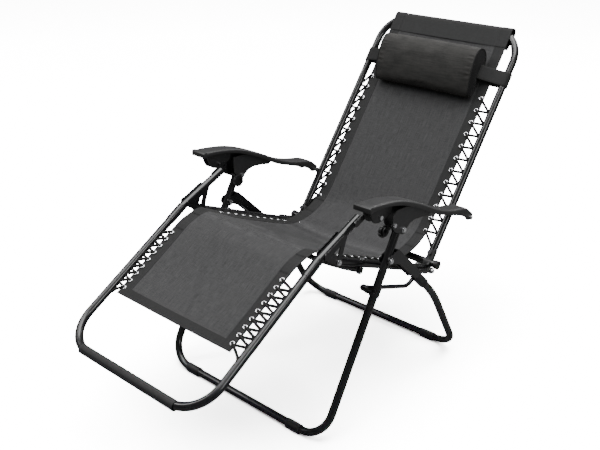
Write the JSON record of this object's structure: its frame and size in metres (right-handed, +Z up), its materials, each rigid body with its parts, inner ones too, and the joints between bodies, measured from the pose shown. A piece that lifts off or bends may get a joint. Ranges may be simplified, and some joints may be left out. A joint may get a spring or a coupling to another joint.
{
  "type": "zero gravity recliner",
  "caption": "Folding tube-frame recliner with a laced sling seat, back and leg rest, wave-shaped armrests with recline locks and a strap-on head pillow.",
  "frame": {"origin": "centre of the footprint box on the floor, midway between the foot bar and the top of the back", "axes": "+X to the sitter's left, -Y the way the sitter faces, +Z up"},
  "size_m": [0.654, 1.3728, 0.9367],
  "materials": {
    "black_tube": "semi-gloss powder coat",
    "bright_bolt": "bright zinc plate",
    "arm_plastic": "fine moulded texture",
    "knob_plastic": "ribbed",
    "foot_plastic": "satin",
    "foot_foam": "soft matt",
    "sling_mesh": "woven mesh",
    "lace": "braided elastic",
    "pillow_cloth": "woven",
    "strap_web": "webbing"
  },
  "bodies": {
    "front_legs": {"front_leg_frame": "black_tube", "front_foot_sleeves": "foot_plastic", "tie_clamps": "black_tube", "leg_pivot_bolts": "bright_bolt"},
    "rear_legs": {"rear_leg_frame": "black_tube", "rear_leg_channels": "black_tube", "rear_leg_collars": "foot_plastic", "rear_foot_sleeves": "foot_plastic"},
    "tie_links": {"tie_links": "black_tube", "tie_pivot_bolts": "bright_bolt"},
    "seat": {"seat_rail_left": "black_tube", "seat_rail_right": "black_tube", "bow_bar": "black_tube", "bow_bar_bolts": "bright_bolt", "seat_sling": "sling_mesh", "seat_eyelets": "bright_bolt", "seat_cords": "lace"},
    "hip_bolts": {"hip_bolts": "bright_bolt"},
    "back": {"back_frame": "black_tube", "back_sockets": "arm_plastic", "rear_cross_tube": "black_tube", "cross_tube_caps": "foot_plastic", "socket_bolts": "bright_bolt", "back_arm_bosses": "arm_plastic", "back_sling": "sling_mesh", "back_eyelets": "bright_bolt", "back_cords": "lace"},
    "head_pillow": {"pillow": "pillow_cloth", "pillow_straps": "strap_web"},
    "armrest_pivots": {"armrest_pivot_bolts": "bright_bolt"},
    "lock_housings": {"lock_housings": "arm_plastic", "lock_bolts": "bright_bolt"},
    "armrests": {"armrest_left": "arm_plastic", "armrest_right": "arm_plastic", "arm_front_bolts": "bright_bolt", "arm_rear_bolts": "bright_bolt"},
    "lock_knob_left": {"lock_knob_left": "knob_plastic"},
    "lock_knob_right": {"lock_knob_right": "knob_plastic"},
    "knee_bolts": {"knee_bolts": "bright_bolt"},
    "leg_rest": {"leg_rest_frame": "black_tube", "leg_rest_ferrules": "black_tube", "leg_rest_arms": "black_tube", "knee_gussets": "black_tube", "foot_grip": "foot_foam", "leg_sling": "sling_mesh", "leg_eyelets": "bright_bolt", "leg_cords": "lace"}
  },
  "joints": [
    {"name": "chair_fold", "type": "hinge", "parent": "front_legs", "child": "tie_links", "pos_m": [0, -0.10235, 0.38152], "axis": [-1, 0, 0], "range_deg": [0, 68]},
    {"name": "rear_leg_fold", "type": "hinge", "parent": "front_legs", "child": "rear_legs", "pos_m": [0, -0.04833, 0.45326], "axis": [-1, 0, 0], "range_deg": [-1.5, 55.9]},
    {"name": "armrest_fold", "type": "hinge", "parent": "front_legs", "child": "armrest_pivots", "pos_m": [0, -0.00527, 0.53], "axis": [-1, 0, 0], "range_deg": [-1.5, 66.47]},
    {"name": "housing_tilt", "type": "hinge", "parent": "armrest_pivots", "child": "lock_housings", "pos_m": [0, -0.00527, 0.53], "axis": [-1, 0, 0], "range_deg": [-2.66, 4.99]},
    {"name": "armrest_slide", "type": "slide", "parent": "lock_housings", "child": "armrests", "axis": [0, 0.8829, -0.4695], "range_m": [-0.0208, 0.0565]},
    {"name": "lock_knob_turn_left", "type": "hinge", "parent": "lock_housings", "child": "lock_knob_left", "pos_m": [0, -0.02727, 0.519], "axis": [1, 0, 0], "range_deg": [0, 90]},
    {"name": "lock_knob_turn_right", "type": "hinge", "parent": "lock_housings", "child": "lock_knob_right", "pos_m": [0, -0.02727, 0.519], "axis": [1, 0, 0], "range_deg": [0, 90]},
    {"name": "seat_tilt", "type": "hinge", "parent": "tie_links", "child": "seat", "pos_m": [0, 0.20873, 0.316], "axis": [-1, 0, 0], "range_deg": [-3.15, 6.44]},
    {"name": "hip_fold", "type": "hinge", "parent": "seat", "child": "hip_bolts", "pos_m": [0, 0.20873, 0.316], "axis": [1, 0, 0], "range_deg": [-1.5, 67.17]},
    {"name": "back_recline", "type": "hinge", "parent": "hip_bolts", "child": "back", "pos_m": [0, 0.20873, 0.316], "axis": [-1, 0, 0], "range_deg": [-5, 15]},
    {"name": "pillow_slide", "type": "slide", "parent": "back", "child": "head_pillow", "axis": [0, -0.592, -0.8059], "range_m": [0, 0.15]},
    {"name": "knee_fold", "type": "hinge", "parent": "seat", "child": "knee_bolts", "pos_m": [0, -0.20327, 0.49], "axis": [1, 0, 0], "range_deg": [-1.5, 93.46]},
    {"name": "leg_rest_swing", "type": "hinge", "parent": "knee_bolts", "child": "leg_rest", "pos_m": [0, -0.20327, 0.49], "axis": [-1, 0, 0], "range_deg": [-8.38, 22.15]}
  ],
  "couplings": [
    {"joint": "rear_leg_fold", "follows": "chair_fold", "ratio": 0.8},
    {"joint": "armrest_fold", "follows": "chair_fold", "ratio": 0.9554},
    {"joint": "hip_fold", "follows": "chair_fold", "ratio": 0.9657},
    {"joint": "knee_fold", "follows": "chair_fold", "ratio": 1.3524},
    {"joint": "housing_tilt", "follows": "back_recline", "ratio": 0.2326},
    {"joint": "armrest_slide", "follows": "back_recline", "m_per_rad": 0.2042},
    {"joint": "seat_tilt", "follows": "back_recline", "ratio": 0.3294},
    {"joint": "leg_rest_swing", "follows": "back_recline", "ratio": 1.3765}
  ]
}
